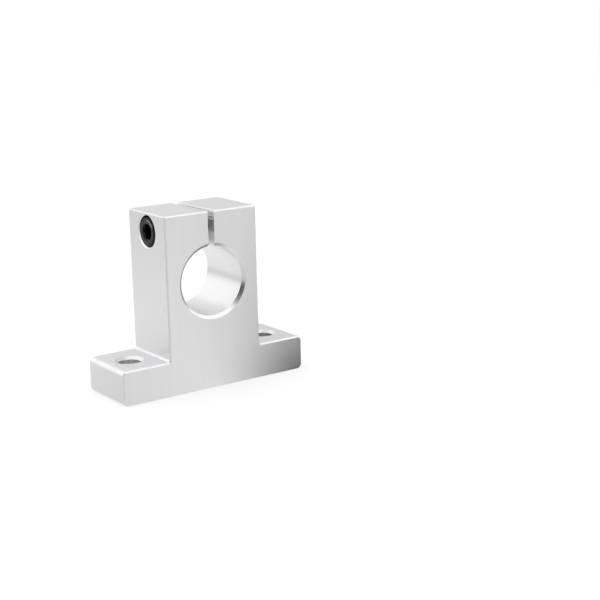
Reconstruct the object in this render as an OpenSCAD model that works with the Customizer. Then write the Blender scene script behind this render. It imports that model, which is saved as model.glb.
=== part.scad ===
// Clamping shaft support block: a one-piece aluminium block on two flanges, with a bore that
// a slit opens at the top, and a socket head cap screw across the slit that closes the bore
// on the shaft. X runs along the flanges, Y along the shaft and Z up. The origin is in the
// middle of the underside.

/* [Base] */
// Length of each flange beside the pillar
flange_l = 15; // [13:0.5:24]
// Thickness of the flanges
flange_h = 10; // [7:0.5:16]
// Length of the block along the shaft
depth = 20; // [16:0.5:32]
// Radius of the corners at the ends of the flanges
base_corner_r = 1.5; // [0.6:0.1:2.5]
// Radius of the fillet between a flange and the pillar
root_r = 0.8; // [0.5:0.1:2]

/* [Pillar] */
// Height of the shaft's axis above the underside
shaft_h = 31; // [28:0.5:50]
// Wall beside the bore
side_wall = 5; // [4:0.25:9]
// Height of the two ears above the bore
ear_h = 10; // [9:0.25:16]
// Radius of the corners at the top of the pillar
pillar_corner_r = 0.45; // [0.45:0.05:1.5]
// Chamfer round the front and rear faces
edge_chamfer = 0.4; // [0.1:0.05:0.4]

/* [Shaft bore] */
// Diameter of the shaft and of the bore that holds it
shaft_d = 20; // [16:0.5:25]
// Chamfer at both ends of the bore
bore_chamfer = 0.9; // [0.3:0.1:1.5]
// Width of the slit above the bore
slit_w = 2; // [1:0.25:3]
// Chamfer on the edges of the slit
slit_chamfer = 0.2; // [0.05:0.05:0.3]

/* [Mounting holes] */
// Diameter of the hole in each flange
hole_d = 6.6; // [5.5:0.1:9]
// Distance from a hole's centre to the end of its flange
hole_edge = 7.5; // [6.5:0.25:9]
// Chamfer at the top of each hole
hole_top_chamfer = 0.8; // [0.2:0.1:1]
// Chamfer at the underside of each hole
hole_foot_chamfer = 0.3; // [0.1:0.1:0.6]

/* [Clamp screw] */
// Thread diameter of the screw
thread_d = 5; // [4:0.5:5.5]
// Length of the screw under its head
screw_l = 20; // [16:1:24]
// Diameter of the head
head_d = 8.5; // [7.5:0.1:9.5]
// Height of the head
head_h = 5; // [4:0.25:6]
// Radius of the head's outer rim
head_rim_r = 0.7; // [0.2:0.1:0.9]
// Radius of the fillet under the head
neck_r = 0.2; // [0.05:0.05:0.2]
// Chamfer at the tip of the screw
tip_chamfer = 0.5; // [0.2:0.1:0.8]
// Width of the hexagon socket across its flats
socket_af = 4; // [3:0.5:4.5]
// Depth of the socket to the end of its flats
socket_depth = 2.6; // [2:0.1:3]
// Ledge between the socket's flats and the cone at its bottom
socket_ledge = 0.15; // [0.05:0.05:0.4]
// Width of the bevel round the mouth of the socket, past the hexagon's corners
socket_bevel = 0.2; // [0.1:0.05:0.4]

/* [Screw holes] */
// Flat strip between the counterbore's chamfer and the pillar's rounded corner above it
crown_flat = 0.05; // [0.05:0.05:1]
// Depth of the head's face below the side of the pillar
head_recess = 0.1; // [0:0.05:0.5]
// Radial gap round the head in its counterbore
head_gap = 0.25; // [0.2:0.05:0.3]
// Height of the counterbore's axis above the screw's axis
counterbore_rise = 0.15; // [0:0.05:0.15]
// Chamfer at the mouth of the counterbore
counterbore_chamfer = 0.35; // [0.1:0.05:0.35]
// Radial gap round the screw in the plain ear
shank_gap = 0.25; // [0.25:0.05:0.4]
// Radial gap round the screw in the threaded ear
thread_gap = 0.05; // [0.02:0.01:0.1]
// Chamfer at the outer mouth of the threaded hole
tap_chamfer = 0.7; // [0.3:0.1:1]
// Chamfer at the slit end of the threaded hole
tap_foot_chamfer = 0.3; // [0.1:0.1:0.5]

/* [Hidden] */
$fn = 96;
cut = 0.5; // how far a cutting tool runs past the face that it opens

// Block
pillar_w = shaft_d + 2 * side_wall;
base_w = pillar_w + 2 * flange_l;
block_h = shaft_h + shaft_d / 2 + ear_h;
side_x = pillar_w / 2;
hole_x = base_w / 2 - hole_edge;

// Screw and its holes
head_r = head_d / 2;
thread_r = thread_d / 2;
counterbore_r = head_r + head_gap;
counterbore_depth = head_h + head_recess;
counterbore_z = block_h - pillar_corner_r - crown_flat - counterbore_chamfer - counterbore_r;
screw_z = counterbore_z - counterbore_rise;
shank_hole_r = thread_r + shank_gap;
tap_hole_r = thread_r + thread_gap;
seat_x = -side_x + counterbore_depth;

// Socket
socket_r = socket_af / sqrt(3); // from the axis to a corner of the hexagon
cone_r = socket_af / 2 - socket_ledge;
cone_h = cone_r / tan(60);

// Turns what stands on Z so that it points along X
module along_x() {
    rotate([0, 90, 0]) children();
}

// Turns what stands on Z so that it points along Y
module along_y() {
    rotate([-90, 0, 0]) children();
}

// Repeats a half on the other side of the plane X = 0
module both_sides() {
    children();
    mirror([1, 0, 0]) children();
}

// Repeats a half on the other side of the plane Y = 0
module both_ends() {
    children();
    mirror([0, 1, 0]) children();
}

// A rectangle about the origin with its corners cut off at 45 degrees
module chamfered_rectangle(w, h, c) {
    x = w / 2;
    y = h / 2;
    polygon([
        [-x, -y + c], [-x + c, -y], [x - c, -y], [x, -y + c],
        [x, y - c], [x - c, y], [-x + c, y], [-x, y - c]
    ]);
}

// A disc of the block's depth along Y, chamfered like the block's end faces
module corner_disc(r) {
    straight = depth - 2 * edge_chamfer;
    along_y() {
        cylinder(r = r, h = straight, center = true);
        for (turn = [0, 180]) rotate([turn, 0, 0]) translate([0, 0, straight / 2])
            cylinder(r1 = r, r2 = r - edge_chamfer, h = edge_chamfer);
    }
}

// A plate across the block's depth from z0 to z1. Its corners are rounded about Y, and its
// front and rear faces are chamfered all the way round.
module plate(w, z0, z1, r) {
    mid_z = (z0 + z1) / 2;
    translate([0, 0, mid_z]) along_x() linear_extrude(w - 2 * r, center = true)
        chamfered_rectangle(z1 - z0, depth, edge_chamfer);
    translate([0, 0, mid_z]) linear_extrude(z1 - z0 - 2 * r, center = true)
        chamfered_rectangle(w, depth, edge_chamfer);
    both_sides() for (z = [z0 + r, z1 - r]) translate([w / 2 - r, 0, z]) corner_disc(r);
}

// Fillet between the right flange and the pillar, with the end faces' chamfer carried round it
module root_fillet() {
    overlap = 2 * edge_chamfer;
    translate([side_x + root_r, 0, flange_h + root_r]) difference() {
        translate([-root_r - overlap, -depth / 2, -root_r - overlap])
            cube([root_r + overlap, depth, root_r + overlap]);
        along_y() cylinder(r = root_r, h = depth + 2 * cut, center = true);
        both_ends() translate([0, depth / 2, 0])
            opening(root_r, edge_chamfer);
    }
}

// The cut that bevels a round hole's mouth at 45 degrees. The mouth faces +Y at the origin.
module opening(r, c) {
    along_y() translate([0, 0, -c]) cylinder(r1 = r, r2 = r + c + cut, h = c + cut);
}

// The same bevel for a mouth that faces +X
module opening_x(r, c) {
    rotate([0, 0, -90]) opening(r, c);
}

// The same bevel for a mouth that faces +Z
module opening_z(r, c) {
    rotate([90, 0, 0]) opening(r, c);
}

// The shaft's bore with a bevel at both ends
module shaft_bore() {
    translate([0, 0, shaft_h]) {
        along_y() cylinder(d = shaft_d, h = depth + 2 * cut, center = true);
        both_ends() translate([0, depth / 2, 0]) opening(shaft_d / 2, bore_chamfer);
    }
}

// A groove's cross-section that is as wide as the slit and opens out at the block's surface,
// which lies on the X axis here
module slit_mouth() {
    half = slit_w / 2;
    polygon([
        [-half, -slit_chamfer], [half, -slit_chamfer],
        [half + slit_chamfer + cut, cut], [-half - slit_chamfer - cut, cut]
    ]);
}

// The slit from the bore to the top of the pillar, with its outer edges broken
module slit() {
    reach = block_h - shaft_h;
    translate([-slit_w / 2, -depth / 2 - cut, shaft_h]) cube([slit_w, depth + 2 * cut, reach + cut]);
    translate([0, 0, block_h]) rotate([90, 0, 0])
        linear_extrude(depth + 2 * cut, center = true) slit_mouth();
    both_ends() translate([0, depth / 2, shaft_h]) linear_extrude(reach + cut) slit_mouth();
}

// The hole for a mounting screw in the right flange
module mounting_hole() {
    translate([hole_x, 0, 0]) {
        translate([0, 0, -cut]) cylinder(d = hole_d, h = flange_h + 2 * cut);
        translate([0, 0, flange_h]) opening_z(hole_d / 2, hole_top_chamfer);
        mirror([0, 0, 1]) opening_z(hole_d / 2, hole_foot_chamfer);
    }
}

// The clamp screw's holes: the counterbore and the plain hole in the left ear, and the
// threaded hole in the right ear, which is drawn at the thread's outer diameter
module screw_holes() {
    translate([-side_x, 0, counterbore_z]) {
        translate([-cut, 0, 0]) along_x() cylinder(r = counterbore_r, h = counterbore_depth + cut);
        mirror([1, 0, 0]) opening_x(counterbore_r, counterbore_chamfer);
    }
    translate([0, 0, screw_z]) {
        translate([seat_x - cut, 0, 0]) along_x() cylinder(r = shank_hole_r, h = cut - seat_x);
        along_x() cylinder(r = tap_hole_r, h = side_x + cut);
        translate([side_x, 0, 0]) opening_x(tap_hole_r, tap_chamfer);
        translate([slit_w / 2, 0, 0]) mirror([1, 0, 0]) opening_x(tap_hole_r, tap_foot_chamfer);
    }
}

// The block, one piece of aluminium
module support_block() {
    color("gainsboro") difference() {
        union() {
            plate(base_w, 0, flange_h, base_corner_r);
            plate(pillar_w, flange_h / 2, block_h, pillar_corner_r);
            both_sides() root_fillet();
        }
        shaft_bore();
        slit();
        both_sides() mounting_hole();
        screw_holes();
    }
}

// Half of the screw's cross-section, with the middle of the head's face at the origin and
// the shank pointing along +Y. The thread is drawn as a plain shank.
module screw_profile() {
    // Head, with its outer rim rounded
    translate([0, head_rim_r]) square([head_r, head_h - head_rim_r]);
    square([head_r - head_rim_r, head_h]);
    translate([head_r - head_rim_r, head_rim_r]) circle(head_rim_r);
    // Shank, with its tip chamfered
    tip = head_h + screw_l;
    polygon([
        [0, head_h - neck_r], [thread_r, head_h - neck_r], [thread_r, tip - tip_chamfer],
        [thread_r - tip_chamfer, tip], [0, tip]
    ]);
    // Fillet under the head
    difference() {
        translate([thread_r, head_h]) square(neck_r);
        translate([thread_r + neck_r, head_h + neck_r]) circle(neck_r);
    }
}

// The hexagon socket, with a drill's cone at its bottom and a bevel round its mouth. The mouth
// is at the origin and the socket runs along +Z.
module hex_socket() {
    bevel_r = socket_r + socket_bevel;
    translate([0, 0, -cut]) cylinder(r = socket_r, h = socket_depth + cut, $fn = 6);
    translate([0, 0, socket_depth]) cylinder(r1 = cone_r, r2 = 0, h = cone_h);
    translate([0, 0, -cut]) cylinder(r1 = bevel_r + cut, r2 = 0, h = bevel_r + cut);
}

// The clamp screw, with its head in the counterbore and its shank in both ears
module clamp_screw() {
    color([0.17, 0.17, 0.18]) translate([-side_x + head_recess, 0, screw_z]) along_x() difference() {
        rotate_extrude() screw_profile();
        hex_socket();
    }
}

support_block();
clamp_screw();
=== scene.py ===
import math

import bmesh
import bpy
from mathutils import Matrix, Vector


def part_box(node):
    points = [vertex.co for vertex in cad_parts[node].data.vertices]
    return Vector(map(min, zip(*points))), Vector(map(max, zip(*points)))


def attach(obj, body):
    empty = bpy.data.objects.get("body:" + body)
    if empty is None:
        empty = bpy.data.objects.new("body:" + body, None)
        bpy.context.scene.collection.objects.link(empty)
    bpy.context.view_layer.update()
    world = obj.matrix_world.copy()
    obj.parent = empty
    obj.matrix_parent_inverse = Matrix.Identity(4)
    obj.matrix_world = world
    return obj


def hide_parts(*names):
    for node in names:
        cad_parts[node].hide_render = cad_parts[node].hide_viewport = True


# A clamping shaft support block. The block keeps its CAD mesh and gets an anodised finish. The
# clamp screw is modelled again with its real thread, and the ear that it screws into gets the
# thread's form in the open part of its hole.

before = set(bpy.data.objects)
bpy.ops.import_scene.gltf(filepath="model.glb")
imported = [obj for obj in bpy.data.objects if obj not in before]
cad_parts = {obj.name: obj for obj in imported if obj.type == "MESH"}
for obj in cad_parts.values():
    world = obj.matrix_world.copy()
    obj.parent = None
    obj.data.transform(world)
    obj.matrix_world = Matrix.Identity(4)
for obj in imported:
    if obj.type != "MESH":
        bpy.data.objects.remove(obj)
bpy.context.view_layer.update()

MM = 0.001

# ---------------------------------------------------------------- sizes, in millimetres

screw_low, screw_high = (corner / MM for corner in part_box("clamp_screw"))

PILLAR_HALF = 15.0
BORE_Z = 31.0
BORE_R = 10.0
BORE_BEVEL = 0.9
SLIT_HALF = 1.0
MOUNT_X = 22.5
MOUNT_R = 3.3
MOUNT_BEVEL = 0.8

SCREW_Z = (screw_low.z + screw_high.z) / 2
HEAD_FACE_X = screw_low.x
TIP_X = screw_high.x
HEAD_R = (screw_high.z - screw_low.z) / 2
HEAD_H = 5.0
SEAT_X = HEAD_FACE_X + HEAD_H
RIM_R = 0.7
SEAT_EDGE = 0.15
SOFT_EDGE = 0.03
SOCKET_AF = 4.0
SOCKET_DEPTH = 2.6
SOCKET_BEVEL = 0.2
DRILL_R = SOCKET_AF / 2 - 0.15
DRILL_HALF_POINT = math.radians(60)
NECK_L = 1.2
NECK_R = 2.5
NECK_FILLET = 0.2
TIP_CHAMFER = 0.5

# ISO metric M5 coarse thread
PITCH = 0.8
MAJOR_R = 2.49
ROOT_R = 2.05
CREST_FLAT = PITCH / 8
ROOT_FLAT = PITCH / 4
THREAD_ROUNDING = 0.03
THREAD_STEPS = 64
# The neck's bevel runs out just under the thread's root, and the thread starts inside the neck
RUN_OUT = (NECK_R - ROOT_R) * 1.2
THREAD_START = SEAT_X + NECK_L - 0.8

# The ear's thread: its hole in the CAD model is drawn at the thread's outer radius. The sleeve
# that carries the thread sits a little way in the hole's wall and starts clear of the screw.
EAR_HOLE_R = 2.55
EAR_SLEEVE_R = 2.56
EAR_GROOVE_R = 2.53
EAR_MINOR_R = 2.1
EAR_START = TIP_X + 0.2
EAR_COUNTERSINK = 0.7
EAR_MOUTH_X = PILLAR_HALF - EAR_COUNTERSINK

# How far a cutting shape reaches past what it cuts, and stands off a wall it must not touch
REACH = 1.0
STAND_OFF = 0.02

# Distances in metres: the cut's tolerance, the seam between turns, and specks left by cuts
CUT_TOLERANCE = 0.00000001
SEAM = 0.000001
SPECK = 0.000002

# A normal's part along an axis above which a face is taken to face that way
FACING = 0.9
# The same for a whole flat face: what stays under it is a tumbled edge
FLAT = 0.94
# How much flatter than 45 degrees the bore's bevels are cut
BEVEL_LEAN = 1.35

# The head's rubbed flat, and the side of it, from the axis, where a thin bright arc is painted
# on as a highlight
RUBBED_R = 3.3
GLINT_SIDE = (0, -0.5, 0.866)
GLINT_FROM, GLINT_FULL = 2.7, 3.0

# Bands that the saw burnished along the slit's walls: height of the middle, half width and soft
# edge, and how much smoother the metal is there
SAW_BANDS = (
    (46.5, 1.5, 0.6, 0.65),
    (48.9, 0.1, 0.3, 0.9),
    (49.9, 0.15, 0.35, 0.6),
    (41.3, 0.6, 0.6, 0.8),
)

# The camera's turn to the right from +Y, its tilt down and its roll, in degrees
CAMERA_TURN, CAMERA_TILT, CAMERA_ROLL = 35.9, 13.5, -1.2
# Its place in millimetres and its lens
CAMERA_PLACE = (-187.7, -310.5, 109.9)
CAMERA_LENS = 77.4

# What the metal mirrors, as radiance, where 1 is white: the tent's walls, its ceiling under the
# top lamp, the paper near the block and far from it, and the limits of it all
WALLS, CEILING = 0.9, 1.4
PAPER_NEAR, PAPER_FAR = 1.05, 0.7
DARKEST, BRIGHTEST = 0.05, 1.27
# The walls turn into the ceiling between these heights in degrees, and the paper's near part
# into its far part between these distances in millimetres
WALLS_TOP, CEILING_EDGE = 20.0, 75.0
NEAR_EDGE, FAR_EDGE = 80.0, 330.0
# How strongly the tent lights the paper, and how much of the paper's own look is plain white
TENT_ON_PAPER = 1.12
PLAIN_WHITE = 0.6

# Lamps and openings of the tent, in degrees: bearing from +Y towards +X, height, how far each
# reaches from its middle to the sides and up, its soft edge, and what it adds
TENT_LIGHTS = {
    "lamp on the left": (275, 30, 30, 20, 20, 1.1),
    "lamp behind on the left": (330, 35, 20, 20, 20, 0.5),
    "lamp in front on the right": (150, 20, 40, 15, 30, 0.9),
    "opening for the camera": (CAMERA_TURN + 180, CAMERA_TILT + 10, 15, 15, 25, -1.0),
    "dim rear wall": (CAMERA_TURN + 20, CAMERA_TILT, 10, 10, 25, -0.3),
}
# Things that darken the paper, in millimetres: x and y, radius, soft edge, and what each adds
PAPER_SHADES = {
    "neighbouring block": (50, 0, 15, 40, -1.1),
    "open side of the tent": (105, -45, 25, 60, -1.0),
    "stand of the left lamp": (-100, -50, 50, 100, -0.3),
}


# ---------------------------------------------------------------- modelling

def only(obj):
    """Selects one object and makes it active."""
    bpy.ops.object.select_all(action="DESELECT")
    obj.select_set(True)
    bpy.context.view_layer.objects.active = obj


def edit(obj):
    only(obj)
    bpy.ops.object.mode_set(mode="EDIT")
    bpy.ops.mesh.select_all(action="DESELECT")


def done():
    bpy.ops.object.mode_set(mode="OBJECT")


def pick(obj, kind, test):
    """Selects the faces, edges or vertices of the mesh in edit mode whose places pass a test."""
    bpy.ops.mesh.select_mode(type={"verts": "VERT", "edges": "EDGE", "faces": "FACE"}[kind])
    bpy.ops.mesh.select_all(action="DESELECT")
    mesh = bmesh.from_edit_mesh(obj.data)
    for item in getattr(mesh, kind):
        corners = [item] if kind == "verts" else item.verts
        if all(test(corner.co / MM) for corner in corners):
            item.select_set(True)
    mesh.select_flush_mode()
    bmesh.update_edit_mesh(obj.data)


def put_in_place(obj):
    """Moves an object's place into its mesh."""
    only(obj)
    bpy.ops.object.transform_apply(location=True, rotation=True, scale=True)
    return obj


def rod(name, x0, x1, r, sides=96):
    """A cylinder along X about the screw's axis, from x0 to x1."""
    bpy.ops.object.select_all(action="DESELECT")
    bpy.ops.mesh.primitive_cylinder_add(
        vertices=sides, radius=r * MM, depth=(x1 - x0) * MM,
        location=((x0 + x1) / 2 * MM, 0, SCREW_Z * MM), rotation=(0, math.radians(90), 0))
    obj = bpy.context.object
    obj.name = name
    return put_in_place(obj)


def cone(name, x0, x1, r0, r1, sides=96):
    """A cone along X about the screw's axis, of radius r0 at x0 and r1 at x1."""
    bpy.ops.object.select_all(action="DESELECT")
    bpy.ops.mesh.primitive_cone_add(
        vertices=sides, radius1=r0 * MM, radius2=r1 * MM, depth=(x1 - x0) * MM,
        location=((x0 + x1) / 2 * MM, 0, SCREW_Z * MM), rotation=(0, math.radians(90), 0))
    obj = bpy.context.object
    obj.name = name
    return put_in_place(obj)


def modify(obj, kind, **settings):
    """Adds a modifier to an object and applies it."""
    only(obj)
    modifier = obj.modifiers.new(kind.title(), kind)
    for key, value in settings.items():
        setattr(modifier, key, value)
    bpy.ops.object.modifier_apply(modifier=modifier.name)


def combine(obj, other, operation):
    """Joins, cuts or intersects an object with another one, which is used up."""
    modify(obj, "BOOLEAN", operation=operation, object=other, solver="EXACT")
    bpy.data.objects.remove(other)


def bevel_ring(obj, x, r, width, segments):
    """Bevels the circular edge of radius r at x."""
    edit(obj)
    pick(obj, "edges", lambda p: abs(p.x - x) < 0.001
         and abs(math.hypot(p.y, p.z - SCREW_Z) - r) < 0.002)
    bpy.ops.mesh.bevel(offset=width * MM, segments=segments)
    done()


def thread_rod(name, x0, x1, crest_r, root_r):
    """A right-hand threaded rod from x0 to x1: a tooth's outline with its corners rounded, swept
    round the screw's axis and up by the pitch at each turn, then cut off square at both ends."""
    turns = math.ceil((x1 - x0) / PITCH) + 3
    bpy.ops.object.select_all(action="DESELECT")
    bpy.ops.mesh.primitive_plane_add(
        size=PITCH * MM, location=((x0 - 1.5 * PITCH) * MM, 0, SCREW_Z * MM))
    obj = bpy.context.object
    obj.name = name
    edit(obj)
    bpy.ops.mesh.select_mode(type="VERT")
    bpy.ops.mesh.select_all(action="SELECT")
    bpy.ops.mesh.merge(type="CENTER")
    bpy.ops.mesh.select_all(action="SELECT")
    bpy.ops.transform.translate(value=(0, 0, root_r * MM))
    flank = (PITCH - CREST_FLAT - ROOT_FLAT) / 2
    rise = crest_r - root_r
    for along, out in ((ROOT_FLAT / 2, 0), (flank, rise), (CREST_FLAT, 0), (flank, -rise),
                       (ROOT_FLAT / 2, 0)):
        bpy.ops.mesh.extrude_vertices_move(
            TRANSFORM_OT_translate={"value": (along * MM, 0, out * MM)})
    pick(obj, "verts", lambda p: 0.01 < p.x < PITCH - 0.01)
    bpy.ops.mesh.bevel(offset=THREAD_ROUNDING * MM, segments=2, affect="VERTICES")
    done()
    modify(obj, "SCREW", axis="X", angle=math.radians(360), screw_offset=PITCH * MM,
           iterations=turns, steps=THREAD_STEPS, render_steps=THREAD_STEPS,
           use_normal_calculate=True)
    put_in_place(obj)
    edit(obj)
    bpy.ops.mesh.select_all(action="SELECT")
    bpy.ops.mesh.remove_doubles(threshold=SEAM)
    for x, side in ((x0, -1), (x1, 1)):
        bpy.ops.mesh.select_all(action="SELECT")
        bpy.ops.mesh.bisect(plane_co=(x * MM, 0, SCREW_Z * MM), plane_no=(side, 0, 0),
                            threshold=CUT_TOLERANCE, use_fill=True, clear_outer=True)
    bpy.ops.mesh.select_all(action="SELECT")
    bpy.ops.mesh.normals_make_consistent(inside=False)
    done()
    return obj


def soften(obj, width):
    """Breaks the sharp edges as tumbling does."""
    modify(obj, "BEVEL", width=width * MM, segments=2, limit_method="ANGLE",
           angle_limit=math.radians(35))


def clean_up(obj):
    """Merges the specks that the cuts leave, and shades the mesh smooth but for its edges."""
    edit(obj)
    bpy.ops.mesh.select_all(action="SELECT")
    bpy.ops.mesh.remove_doubles(threshold=SPECK)
    bpy.ops.mesh.normals_make_consistent(inside=False)
    done()
    only(obj)
    bpy.ops.object.shade_smooth_by_angle(angle=math.radians(30))


def make_screw():
    """The M5 socket head cap screw."""
    screw = rod("socket_head_screw", HEAD_FACE_X, SEAT_X, HEAD_R)
    bevel_ring(screw, HEAD_FACE_X, HEAD_R, RIM_R, 8)
    bevel_ring(screw, SEAT_X, HEAD_R, SEAT_EDGE, 2)

    # The neck grows out of the underside of the head, with a fillet in the corner, and runs out
    # in a bevel down to the thread's root
    edit(screw)
    pick(screw, "faces", lambda p: abs(p.x - SEAT_X) < 0.001)
    bpy.ops.mesh.inset(thickness=(HEAD_R - SEAT_EDGE - NECK_R) * MM)
    bpy.ops.mesh.extrude_region_move(TRANSFORM_OT_translate={"value": (NECK_L * MM, 0, 0)})
    done()
    bevel_ring(screw, SEAT_X, NECK_R, NECK_FILLET, 4)
    bevel_ring(screw, SEAT_X + NECK_L, NECK_R, RUN_OUT, 1)

    # The hexagon socket: the broached flats, the drill's cone below them and the bevel
    socket_r = SOCKET_AF / math.sqrt(3)
    floor_x = HEAD_FACE_X + SOCKET_DEPTH
    hexagon = rod("hexagon", HEAD_FACE_X - REACH, floor_x, socket_r, sides=6)
    combine(screw, hexagon, "DIFFERENCE")
    drill_depth = DRILL_R / math.tan(DRILL_HALF_POINT)
    drill = cone("drill", floor_x - 0.2, floor_x + drill_depth, DRILL_R, 0)
    combine(screw, drill, "DIFFERENCE")
    bevel_r = socket_r + SOCKET_BEVEL
    bevel = cone("bevel", HEAD_FACE_X - REACH, HEAD_FACE_X + bevel_r, bevel_r + REACH, 0)
    combine(screw, bevel, "DIFFERENCE")
    soften(screw, SOFT_EDGE)

    # The thread starts inside the neck, and its tip is turned to a chamfer
    thread = thread_rod("thread", THREAD_START, TIP_X + 0.5, MAJOR_R, ROOT_R)
    blank_r = MAJOR_R + STAND_OFF
    blank = rod("blank", THREAD_START - 0.8, TIP_X, blank_r)
    bevel_ring(blank, TIP_X, blank_r, TIP_CHAMFER + STAND_OFF, 1)
    combine(thread, blank, "INTERSECT")
    combine(screw, thread, "UNION")
    clean_up(screw)
    return screw


def make_ear_thread():
    """The thread in the open part of the ear's hole, past the tip of the screw."""
    sleeve = rod("ear_thread", EAR_START, EAR_MOUTH_X, EAR_SLEEVE_R)
    tap = thread_rod("tap", EAR_START - REACH, EAR_MOUTH_X + REACH, EAR_GROOVE_R, EAR_MINOR_R)
    combine(sleeve, tap, "DIFFERENCE")
    mouth_r = EAR_HOLE_R + EAR_COUNTERSINK
    countersink = cone("countersink", PILLAR_HALF - mouth_r, PILLAR_HALF + REACH, 0,
                       mouth_r + REACH)
    combine(sleeve, countersink, "DIFFERENCE")
    clean_up(sleeve)
    return sleeve


# ---------------------------------------------------------------- materials

def srgb(hex_colour):
    """An sRGB hex colour as a linear RGBA value."""
    values = [int(hex_colour[i:i + 2], 16) / 255 for i in (0, 2, 4)]
    return [v / 12.92 if v <= 0.04045 else ((v + 0.055) / 1.055) ** 2.4 for v in values] + [1.0]


def add(tree, kind, inputs=None, **settings):
    """Adds a node, sets its properties, and gives its inputs values or links. A node given as a
    value stands for its first output."""
    node = tree.nodes.new("ShaderNode" + kind)
    for key, value in settings.items():
        setattr(node, key, value)
    for key, value in (inputs or {}).items():
        if isinstance(value, bpy.types.Node):
            value = value.outputs[0]
        if isinstance(value, bpy.types.NodeSocket):
            tree.links.new(value, node.inputs[key])
        else:
            node.inputs[key].default_value = value
    return node


def new_material(name):
    material = bpy.data.materials.new(name)
    material.use_nodes = True
    material.node_tree.nodes.clear()
    return material, material.node_tree


def soft_patches(tree, level, patches, distances):
    """Adds soft-edged patches to a level. Each patch starts with its half sizes and soft edges,
    one pair for each distance, and ends with what it adds."""
    for patch in patches:
        cover = None
        for distance, half, soft in distances(patch):
            part = add(tree, "MapRange", {"Value": distance, "From Min": half + soft,
                                          "From Max": half, "To Min": 0.0, "To Max": 1.0},
                       interpolation_type="SMOOTHSTEP")
            cover = part if cover is None else add(tree, "Math", {0: cover, 1: part},
                                                   operation="MULTIPLY")
        level = add(tree, "Math", {0: cover, 1: patch[-1], 2: level}, operation="MULTIPLY_ADD")
    return level


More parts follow.
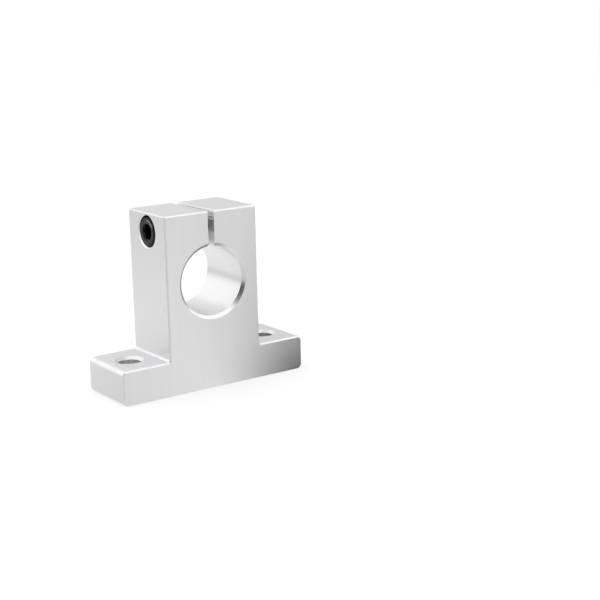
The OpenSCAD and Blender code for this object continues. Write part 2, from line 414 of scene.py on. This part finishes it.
def anodised_aluminium():
    """Clear anodised aluminium, sawn from an extruded bar, milled, bored and tumbled. The oxide
    film leaves the metal's own pale grey, a little duller and softer than bare metal, and keeps
    every line that the tools left under it. So the eye sees a satin sheen with faint streaks up
    the milled faces, calmer sides, a smoother bore, edges that handling has rubbed brighter in
    places, and bare, banded saw marks in the slit."""
    material, tree = new_material("clear_anodised_aluminium")
    coords = add(tree, "TexCoord")
    place = add(tree, "VectorMath", {0: coords.outputs["Object"], "Scale": 1 / MM},
                operation="SCALE")
    x, y, z = add(tree, "SeparateXYZ", {0: place}).outputs
    facing = add(tree, "VectorMath", {0: coords.outputs["Normal"]}, operation="ABSOLUTE")
    facing_x, facing_y, facing_z = add(tree, "SeparateXYZ", {0: facing}).outputs

    # The milled front and rear faces
    milled = add(tree, "Math", {0: facing_y, 1: FACING}, operation="GREATER_THAN")

    # The bore with its bevels, and the mounting holes with theirs
    from_bore = add(tree, "VectorMath", {0: place, 1: (0, 0, BORE_Z)}, operation="SUBTRACT")
    from_bore = add(tree, "VectorMath", {0: from_bore, 1: (1, 0, 1)}, operation="MULTIPLY")
    from_bore = add(tree, "VectorMath", {0: from_bore}, operation="LENGTH").outputs["Value"]
    side_x = add(tree, "Math", {0: x}, operation="ABSOLUTE")
    from_mount = add(tree, "CombineXYZ", {0: side_x, 1: y})
    from_mount = add(tree, "VectorMath", {0: from_mount, 1: (MOUNT_X, 0, 0)},
                     operation="DISTANCE").outputs["Value"]
    round_walls = []
    for radius, limit, along in ((from_bore, BORE_R + BORE_BEVEL, facing_y),
                                 (from_mount, MOUNT_R + MOUNT_BEVEL, facing_z)):
        inside = add(tree, "Math", {0: radius, 1: limit + 0.05}, operation="LESS_THAN")
        aside = add(tree, "Math", {0: along, 1: FACING}, operation="LESS_THAN")
        round_walls.append(add(tree, "Math", {0: inside, 1: aside}, operation="MULTIPLY"))
    bored, drilled = round_walls

    # The sawn walls of the slit
    in_slit = add(tree, "Math", {0: side_x, 1: SLIT_HALF + 0.25}, operation="LESS_THAN")
    sawn = add(tree, "Math", {0: facing_x, 1: 0.6}, operation="GREATER_THAN")
    sawn = add(tree, "Math", {0: in_slit, 1: sawn}, operation="MULTIPLY")
    above_bore = add(tree, "Math", {0: z, 1: BORE_Z + 5}, operation="GREATER_THAN")
    sawn = add(tree, "Math", {0: sawn, 1: above_bore}, operation="MULTIPLY")

    # The tumbled edges, where handling has rubbed the film thin in places
    flattest = add(tree, "Math", {0: facing_x, 1: facing_z}, operation="MAXIMUM")
    flattest = add(tree, "Math", {0: flattest, 1: facing_y}, operation="MAXIMUM")
    on_edge = add(tree, "Math", {0: flattest, 1: FLAT}, operation="LESS_THAN")
    in_hole = add(tree, "Math", {0: bored, 1: drilled}, operation="MAXIMUM")
    on_edge = add(tree, "Math", {0: on_edge, 1: in_hole}, operation="SUBTRACT", use_clamp=True)
    rubbed = add(tree, "TexNoise", {"Vector": place, "Scale": 0.45, "Detail": 3.0})
    rubbed = add(tree, "MapRange", {"Value": rubbed, "From Min": 0.42, "From Max": 0.58})
    rubbed = add(tree, "Math", {0: rubbed, 1: on_edge}, operation="MULTIPLY")

    # Tool lines are fine across and long along: up the milled faces, along the extruded sides,
    # and round the bore and the drilled holes. The real ones are some 0.05 mm apart, and are
    # drawn 0.3 mm apart so that they show.
    fine, coarse = 3.2, 0.06
    grain = None
    for where, stretch in ((None, (fine, coarse, fine)), (milled, (fine, coarse, coarse)),
                           (bored, (coarse, fine, coarse)), (drilled, (coarse, coarse, fine))):
        stretched = add(tree, "VectorMath", {0: place, 1: stretch}, operation="MULTIPLY")
        lines = add(tree, "TexNoise", {"Vector": stretched, "Scale": 1.0, "Detail": 3.0,
                                       "Roughness": 0.6})
        grain = lines if where is None else add(tree, "Mix", {0: where, 2: grain, 3: lines},
                                                data_type="FLOAT")

    # Broad, faint bands a few millimetres wide, where one pass of the tool cut a little deeper
    across = add(tree, "VectorMath", {0: place, 1: (0.35, 0.01, 0.01)}, operation="MULTIPLY")
    bands = add(tree, "TexNoise", {"Vector": across, "Scale": 1.0, "Detail": 1.0})

    # Marks of the slitting saw, which lie along the slit: smooth bands where its teeth rubbed,
    # with finer marks on them
    def reach(band):
        middle, half, soft, _ = band
        above = add(tree, "Math", {0: z, 1: middle}, operation="SUBTRACT")
        return [(add(tree, "Math", {0: above}, operation="ABSOLUTE"), half, soft)]

    burnished = soft_patches(tree, 0.0, SAW_BANDS, reach)
    down = add(tree, "CombineXYZ", {2: z})
    saw_marks = add(tree, "TexNoise", {"Vector": down, "Scale": 1.6, "Detail": 3.0,
                                       "Roughness": 0.7})

    tint = add(tree, "MapRange", {"Value": grain, "From Min": 0.2, "From Max": 0.8,
                                  "To Min": 0.98, "To Max": 1.02})
    band_tint = add(tree, "MapRange", {"Value": bands, "From Min": 0.3, "From Max": 0.7,
                                       "To Min": 0.99, "To Max": 1.01})
    tint = add(tree, "Math", {0: tint, 1: band_tint}, operation="MULTIPLY")
    tint = add(tree, "Math", {0: rubbed, 1: 0.06, 2: tint}, operation="MULTIPLY_ADD")
    anodised = add(tree, "VectorMath", {0: srgb("E2E2E3")[:3], "Scale": tint},
                   operation="SCALE")
    # The slit is sawn after the anodising, so its walls are bare metal and brighter
    colour = add(tree, "Mix", {0: sawn, 4: anodised, 5: srgb("F3F3F4")[:3]},
                 data_type="VECTOR").outputs[1]

    roughness = add(tree, "MapRange", {"Value": grain, "From Min": 0.2, "From Max": 0.8,
                                       "To Min": 0.38, "To Max": 0.44})
    smoother = add(tree, "MapRange", {"Value": facing_y, "From Min": 0.3, "From Max": 0.6,
                                      "To Min": 0.13, "To Max": 0.19})
    smoother = add(tree, "Math", {0: bored, 1: smoother}, operation="MULTIPLY")
    roughness = add(tree, "Math", {0: roughness, 1: smoother}, operation="SUBTRACT")
    roughness = add(tree, "Math", {0: rubbed, 1: -0.12, 2: roughness}, operation="MULTIPLY_ADD")
    smooth = add(tree, "Math", {0: saw_marks, 1: 0.7, 2: burnished}, operation="MULTIPLY_ADD")
    sawn_roughness = add(tree, "MapRange", {"Value": smooth, "From Min": 0.2, "From Max": 1.3,
                                            "To Min": 0.85, "To Max": 0.25})
    roughness = add(tree, "Mix", {0: sawn, 2: roughness, 3: sawn_roughness}, data_type="FLOAT")

    relief = add(tree, "Mix", {0: sawn, 2: grain, 3: saw_marks}, data_type="FLOAT")
    # The bore's bevels are turned flatter than 45 degrees: their cut leans towards the face
    flatter = add(tree, "VectorMath", {0: coords.outputs["Normal"], 1: (1, BEVEL_LEAN, 1)},
                  operation="MULTIPLY")
    leaning = add(tree, "Mix", {0: bored, 4: coords.outputs["Normal"], 5: flatter},
                  data_type="VECTOR").outputs[1]
    leaning = add(tree, "VectorTransform", {0: leaning}, vector_type="NORMAL",
                  convert_from="OBJECT", convert_to="WORLD")
    bump = add(tree, "Bump", {"Height": relief, "Strength": 0.25, "Distance": 0.01 * MM,
                              "Normal": leaning})
    shader = add(tree, "BsdfPrincipled", {"Base Color": colour, "Metallic": 1.0,
                                          "Roughness": roughness, "Normal": bump})
    add(tree, "OutputMaterial", {0: shader})
    return material


def black_oxide_steel():
    """Alloy steel, forged and turned, with a black oxide finish that is oiled. It is nearly
    black with a soft sheen. The flat of the head has rubbed to a dark grey, and on one side of
    it a thin bright arc is painted on as a highlight."""
    material, tree = new_material("black_oxide_steel")
    coords = add(tree, "TexCoord")
    place = add(tree, "VectorMath", {0: coords.outputs["Object"], "Scale": 1 / MM},
                operation="SCALE")
    facing_x = add(tree, "SeparateXYZ", {0: coords.outputs["Normal"]}).outputs[0]
    from_face = add(tree, "VectorMath", {0: place, 1: (HEAD_FACE_X, 0, SCREW_Z)},
                    operation="DISTANCE").outputs["Value"]
    mottle = add(tree, "TexNoise", {"Vector": place, "Scale": 1.6, "Detail": 4.0})
    fine = add(tree, "TexNoise", {"Vector": place, "Scale": 9.0, "Detail": 2.0})

    near_face = add(tree, "MapRange", {"Value": from_face, "From Min": RUBBED_R,
                                       "From Max": RUBBED_R + 0.12, "To Min": 1.0,
                                       "To Max": 0.0})
    outward = add(tree, "MapRange", {"Value": facing_x, "From Min": -0.9, "From Max": -0.8,
                                     "To Min": 1.0, "To Max": 0.0})
    rubbed = add(tree, "Math", {0: near_face, 1: outward}, operation="MULTIPLY")
    black = add(tree, "Mix", {0: mottle, 6: srgb("19191A"), 7: srgb("262627")},
                data_type="RGBA").outputs[2]
    grey = add(tree, "Mix", {0: mottle, 6: srgb("2D2D2E"), 7: srgb("444445")},
               data_type="RGBA").outputs[2]
    colour = add(tree, "Mix", {0: rubbed, 6: black, 7: grey}, data_type="RGBA").outputs[2]
    # Painted highlight: a thin bright arc at the edge of the rubbed flat, on one side only, that
    # stands in for a glint
    painted_glint = add(tree, "Math", {0: from_face, 1: RUBBED_R, 2: 0.14}, operation="COMPARE")
    towards = add(tree, "VectorMath", {0: place, 1: GLINT_SIDE},
                  operation="DOT_PRODUCT").outputs["Value"]
    axis_height = SCREW_Z * GLINT_SIDE[2]
    # How far a point lies towards the painted highlight's side, which fades the highlight in
    bare = add(tree, "MapRange", {"Value": towards, "From Min": axis_height + GLINT_FROM,
                                  "From Max": axis_height + GLINT_FULL})
    painted_glint = add(tree, "Math", {0: painted_glint, 1: bare}, operation="MULTIPLY")
    # The painted highlight's bright grey
    colour = add(tree, "Mix", {0: painted_glint, 6: colour, 7: srgb("B4B4B5")},
                 data_type="RGBA").outputs[2]
    roughness = add(tree, "MapRange", {"Value": mottle, "From Min": 0.3, "From Max": 0.7,
                                       "To Min": 0.26, "To Max": 0.4})
    bump = add(tree, "Bump", {"Height": fine, "Strength": 0.3, "Distance": 0.01 * MM})
    shader = add(tree, "BsdfPrincipled", {"Base Color": colour, "Metallic": 1.0,
                                          "Roughness": roughness, "Normal": bump})
    add(tree, "OutputMaterial", {0: shader})
    return material


# ---------------------------------------------------------------- stage, light and camera

def make_floor():
    """A sheet of white paper. It looks white, keeps a faint shadow of the block, and the metal
    mirrors it with the darker places that the things round the tent leave on it."""
    bpy.ops.object.select_all(action="DESELECT")
    bpy.ops.mesh.primitive_plane_add(size=20.0, location=(0, 0, 0))
    floor = bpy.context.object
    floor.name = "floor"
    material, tree = new_material("white_paper")
    path = add(tree, "LightPath").outputs
    place = add(tree, "VectorMath", {0: add(tree, "TexCoord").outputs["Object"],
                                     "Scale": 1 / MM}, operation="SCALE")
    centre_distance = add(tree, "VectorMath", {0: place}, operation="LENGTH").outputs["Value"]
    level = add(tree, "MapRange", {"Value": centre_distance, "From Min": NEAR_EDGE,
                                   "From Max": FAR_EDGE, "To Min": PAPER_NEAR,
                                   "To Max": PAPER_FAR}, interpolation_type="SMOOTHSTEP")

    def reach(patch):
        x, y, half, soft, _ = patch
        from_patch = add(tree, "VectorMath", {0: place, 1: (x, y, 0)}, operation="DISTANCE")
        return [(from_patch.outputs["Value"], half, soft)]

    level = soft_patches(tree, level, PAPER_SHADES.values(), reach)
    level = add(tree, "Math", {0: level, 1: DARKEST}, operation="MAXIMUM")
    strength = add(tree, "Mix", {0: path["Is Glossy Ray"], 2: 1.0, 3: level}, data_type="FLOAT")
    white = add(tree, "Emission", {"Color": (1, 1, 1, 1), "Strength": strength})
    seen = add(tree, "Math", {0: path["Is Camera Ray"], 1: PLAIN_WHITE}, operation="MULTIPLY")
    seen = add(tree, "Math", {0: seen, 1: path["Is Glossy Ray"]}, operation="MAXIMUM")
    seen = add(tree, "Math", {0: seen, 1: path["Is Transmission Ray"]}, operation="MAXIMUM")
    paper = add(tree, "BsdfDiffuse", {"Color": srgb("F2F2F2")})
    mixed = add(tree, "MixShader", {0: seen, 1: paper, 2: white})
    add(tree, "OutputMaterial", {0: mixed})
    # Only rays that leave the metal find what it mirrors, so neither is sampled as a lamp
    material.cycles.emission_sampling = "NONE"
    floor.data.materials.append(material)


def make_tent():
    """The white tent round the block. To the eye it is plain white. The metal mirrors its lamps
    and the gaps between them."""
    world = bpy.data.worlds.new("white_tent")
    bpy.context.scene.world = world
    world.use_nodes = True
    tree = world.node_tree
    tree.nodes.clear()
    path = add(tree, "LightPath").outputs
    x, y, z = add(tree, "SeparateXYZ", {0: add(tree, "TexCoord").outputs["Generated"]}).outputs
    bearing = add(tree, "Math", {0: x, 1: y}, operation="ARCTAN2")
    bearing = add(tree, "Math", {0: bearing}, operation="DEGREES")
    height = add(tree, "Math", {0: z}, operation="ARCSINE")
    height = add(tree, "Math", {0: height}, operation="DEGREES")
    level = add(tree, "MapRange", {"Value": height, "From Min": WALLS_TOP,
                                   "From Max": CEILING_EDGE, "To Min": WALLS,
                                   "To Max": CEILING}, interpolation_type="SMOOTHSTEP")

    def reach(patch):
        middle, middle_height, half_width, half_height, edge, _ = patch
        aside = add(tree, "Math", {0: bearing, 1: middle}, operation="SUBTRACT")
        aside = add(tree, "Math", {0: aside, 1: 180.0, 2: -180.0}, operation="WRAP")
        aside = add(tree, "Math", {0: aside}, operation="ABSOLUTE")
        above = add(tree, "Math", {0: height, 1: middle_height}, operation="SUBTRACT")
        above = add(tree, "Math", {0: above}, operation="ABSOLUTE")
        return [(aside, half_width, edge), (above, half_height, edge)]

    level = soft_patches(tree, level, TENT_LIGHTS.values(), reach)
    level = add(tree, "Math", {0: level, 1: DARKEST}, operation="MAXIMUM")
    level = add(tree, "Math", {0: level, 1: BRIGHTEST}, operation="MINIMUM")
    white = add(tree, "Math", {0: path["Is Camera Ray"], 1: path["Is Transmission Ray"]},
                operation="MAXIMUM")
    strength = add(tree, "Mix", {0: white, 2: TENT_ON_PAPER, 3: 1.0}, data_type="FLOAT")
    strength = add(tree, "Mix", {0: path["Is Glossy Ray"], 2: strength, 3: level},
                   data_type="FLOAT")
    background = add(tree, "Background", {"Color": (1, 1, 1, 1), "Strength": strength})
    add(tree, "OutputWorld", {0: background})
    world.cycles.sampling_method = "NONE"


def make_softbox():
    """The soft lamp overhead that lights the paper. The metal mirrors the tent in its place."""
    light = bpy.data.lights.new("top_softbox", "AREA")
    light.shape = "SQUARE"
    light.size = 1.0
    light.energy = 1.0 * math.pi * light.size ** 2
    lamp = bpy.data.objects.new("top_softbox", light)
    bpy.context.scene.collection.objects.link(lamp)
    lamp.location = (-0.25, 0.2, 1.1)
    lamp.rotation_mode = "QUATERNION"
    lamp.rotation_quaternion = (-lamp.location).to_track_quat("-Z", "Y")
    lamp.visible_glossy = False


def make_camera():
    """The camera stands in front, to the left and a little above, and is tilted by about a
    degree."""
    turn, tilt, roll = (math.radians(a) for a in (CAMERA_TURN, CAMERA_TILT, CAMERA_ROLL))
    forward = Vector((math.sin(turn) * math.cos(tilt), math.cos(turn) * math.cos(tilt),
                      -math.sin(tilt)))
    level = Vector((math.cos(turn), -math.sin(turn), 0))
    upright = level.cross(forward)
    right = level * math.cos(roll) + upright * math.sin(roll)
    up = upright * math.cos(roll) - level * math.sin(roll)
    data = bpy.data.cameras.new("camera")
    data.sensor_width = 36.0
    data.lens = CAMERA_LENS
    data.clip_start = 0.01
    data.clip_end = 50.0
    camera = bpy.data.objects.new("camera", data)
    bpy.context.scene.collection.objects.link(camera)
    basis = Matrix((right, up, -forward)).transposed().to_4x4()
    camera.matrix_world = Matrix.Translation(Vector(CAMERA_PLACE) * MM) @ basis
    bpy.context.scene.camera = camera


# ---------------------------------------------------------------- the scene

make_camera()
aluminium = anodised_aluminium()
steel = black_oxide_steel()

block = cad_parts["support_block"]
for slot in block.material_slots:
    slot.material = aluminium

screw = make_screw()
screw.data.materials.append(steel)
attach(screw, "screw")
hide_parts("clamp_screw")

ear_thread = make_ear_thread()
ear_thread.data.materials.append(aluminium)
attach(ear_thread, "block")

make_floor()
make_tent()
make_softbox()

bpy.context.scene.view_settings.view_transform = "Standard"

bpy.context.view_layer.update()
